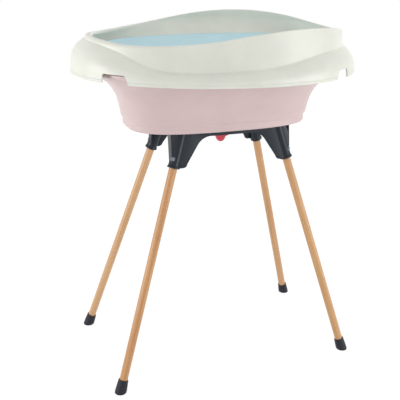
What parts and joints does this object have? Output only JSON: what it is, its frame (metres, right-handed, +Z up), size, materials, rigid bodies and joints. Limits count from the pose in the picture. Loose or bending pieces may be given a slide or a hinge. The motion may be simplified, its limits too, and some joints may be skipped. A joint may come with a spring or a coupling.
{
  "type": "baby changing table with bath",
  "caption": "Oval baby bath on a stand with splayed wooden legs, topped by a lift-off changing tray with a wavy rim and a padded mat.",
  "frame": {"origin": "on the floor, under the centre of the changing tray's oval", "axes": "+Z up, +X along the tray towards its high end, -Y towards the side that the picture shows"},
  "size_m": [0.8222, 0.6159, 1.0307],
  "materials": {
    "frame_plastic": "moulded anthracite plastic, satin",
    "tub_plastic": "moulded pale pink plastic, satin gloss",
    "tray_plastic": "moulded ivory plastic, satin gloss",
    "mat_cover": "coated pale blue cloth over foam",
    "plug_plastic": "moulded red plastic, glossy",
    "seal_rubber": "soft black rubber",
    "leg_wood": "clear-varnished beech, grain along the leg",
    "foot_rubber": "dark matt rubber",
    "button_plastic": "moulded anthracite plastic with grip ribs",
    "spring_steel": "spring steel strip"
  },
  "bodies": {
    "stand": {"stand_frame": "frame_plastic", "leg_front_left": "leg_wood", "leg_front_right": "leg_wood", "leg_rear_left": "leg_wood", "leg_rear_right": "leg_wood", "foot_front_left": "foot_rubber", "foot_front_right": "foot_rubber", "foot_rear_left": "foot_rubber", "foot_rear_right": "foot_rubber", "button_spring_front_left": "spring_steel", "button_spring_front_right": "spring_steel", "button_spring_rear_left": "spring_steel", "button_spring_rear_right": "spring_steel"},
    "tub": {"bath_tub": "tub_plastic"},
    "tray": {"changing_tray": "tray_plastic"},
    "mat": {"changing_mat": "mat_cover"},
    "drain_plug": {"drain_plug": "plug_plastic", "plug_seal": "seal_rubber"},
    "button_front_left": {"leg_button_front_left": "button_plastic"},
    "button_front_right": {"leg_button_front_right": "button_plastic"},
    "button_rear_left": {"leg_button_rear_left": "button_plastic"},
    "button_rear_right": {"leg_button_rear_right": "button_plastic"}
  },
  "joints": [
    {"name": "tub_lift", "type": "slide", "parent": "stand", "child": "tub", "axis": [0, 0, 1], "range_m": [0, 0.3]},
    {"name": "tray_lift", "type": "slide", "parent": "tub", "child": "tray", "axis": [0, 0, 1], "range_m": [0, 0.3]},
    {"name": "mat_lift", "type": "slide", "parent": "tray", "child": "mat", "axis": [0, 0, 1], "range_m": [0, 0.2]},
    {"name": "plug_pull", "type": "slide", "parent": "tub", "child": "drain_plug", "axis": [0, 0, -1], "range_m": [0, 0.04]},
    {"name": "button_press_front_left", "type": "slide", "parent": "stand", "child": "button_front_left", "axis": [0.7122, 0.6265, -0.3166], "range_m": [0, 0.00568], "stiffness_N_per_m": 700, "springref_m": -0.003, "deforming": ["button_spring_front_left"]},
    {"name": "button_press_front_right", "type": "slide", "parent": "stand", "child": "button_front_right", "axis": [-0.7122, 0.6265, -0.3166], "range_m": [0, 0.00568], "stiffness_N_per_m": 700, "springref_m": -0.003, "deforming": ["button_spring_front_right"]},
    {"name": "button_press_rear_left", "type": "slide", "parent": "stand", "child": "button_rear_left", "axis": [0.7122, -0.6265, -0.3166], "range_m": [0, 0.00568], "stiffness_N_per_m": 700, "springref_m": -0.003, "deforming": ["button_spring_rear_left"]},
    {"name": "button_press_rear_right", "type": "slide", "parent": "stand", "child": "button_rear_right", "axis": [-0.7122, -0.6265, -0.3166], "range_m": [0, 0.00568], "stiffness_N_per_m": 700, "springref_m": -0.003, "deforming": ["button_spring_rear_right"]}
  ]
}
